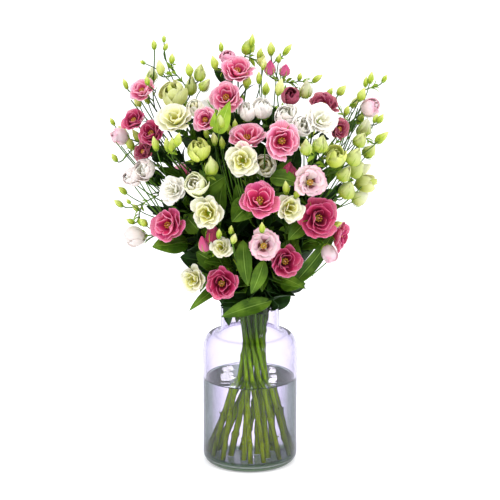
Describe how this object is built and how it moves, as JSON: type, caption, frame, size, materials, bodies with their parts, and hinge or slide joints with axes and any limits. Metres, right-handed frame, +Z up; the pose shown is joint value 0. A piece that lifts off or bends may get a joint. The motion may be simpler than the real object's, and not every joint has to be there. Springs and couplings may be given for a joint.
{
  "type": "vase of lisianthus flowers",
  "caption": "Mixed lisianthus in pink, crimson, white and cream, with buds and leaves, standing in a clear glass jar vase half full of water.",
  "frame": {"origin": "middle of the flat foot of the vase, on the surface it stands on", "axes": "+Z up along the axis of the vase; +X to the right and +Y away from the viewer who faces the front of the bunch"},
  "size_m": [0.4076, 0.3128, 0.6396],
  "materials": {
    "glass": "clear, polished",
    "water": "clear liquid",
    "greenery": "fresh stems, leaves and buds",
    "cream_petal": "soft petal",
    "crimson_petal": "soft petal",
    "blush_petal": "soft petal",
    "pink_petal": "soft petal",
    "white_petal": "soft petal",
    "maroon_petal": "soft petal"
  },
  "bodies": {
    "root": {"vase": "glass", "water": "water", "spray_front": "greenery", "spray_right_low": "greenery", "spray_right": "greenery", "spray_right_high": "greenery", "spray_back_right": "greenery", "spray_back_left": "greenery", "spray_left_high": "greenery", "spray_left": "greenery", "spray_left_low": "greenery", "spray_left_front": "greenery", "spray_low_left": "greenery", "spray_middle": "greenery", "spray_top_right": "greenery", "spray_top": "greenery", "spray_top_left": "greenery", "cream_bloom_1": "cream_petal", "cream_bloom_2": "cream_petal", "cream_bloom_3": "cream_petal", "cream_bloom_4": "cream_petal", "cream_bloom_5": "cream_petal", "cream_bloom_6": "cream_petal", "crimson_bloom_1": "crimson_petal", "crimson_bloom_2": "crimson_petal", "crimson_bloom_3": "crimson_petal", "crimson_bloom_4": "crimson_petal", "crimson_bloom_5": "crimson_petal", "crimson_bloom_6": "crimson_petal", "blush_bloom_1": "blush_petal", "blush_bloom_2": "blush_petal", "blush_bloom_3": "blush_petal", "blush_bloom_4": "blush_petal", "blush_bloom_5": "blush_petal", "pink_bloom_1": "pink_petal", "pink_bloom_2": "pink_petal", "pink_bloom_3": "pink_petal", "pink_bloom_4": "pink_petal", "pink_bloom_5": "pink_petal", "pink_bloom_6": "pink_petal", "pink_bloom_7": "pink_petal", "pink_bloom_8": "pink_petal", "white_bloom_1": "white_petal", "white_bloom_2": "white_petal", "white_bloom_3": "white_petal", "white_bloom_4": "white_petal", "white_bloom_5": "white_petal", "white_bloom_6": "white_petal", "white_bloom_7": "white_petal", "maroon_bloom_1": "maroon_petal", "maroon_bloom_2": "maroon_petal", "maroon_bloom_3": "maroon_petal", "maroon_bloom_4": "maroon_petal", "back_pink_bloom": "pink_petal", "back_white_blooms": "white_petal", "back_crimson_bloom": "crimson_petal", "back_cream_blooms": "cream_petal", "back_blush_bloom": "blush_petal", "back_pink_blooms": "pink_petal", "back_maroon_bloom": "maroon_petal"}
  },
  "joints": []
}
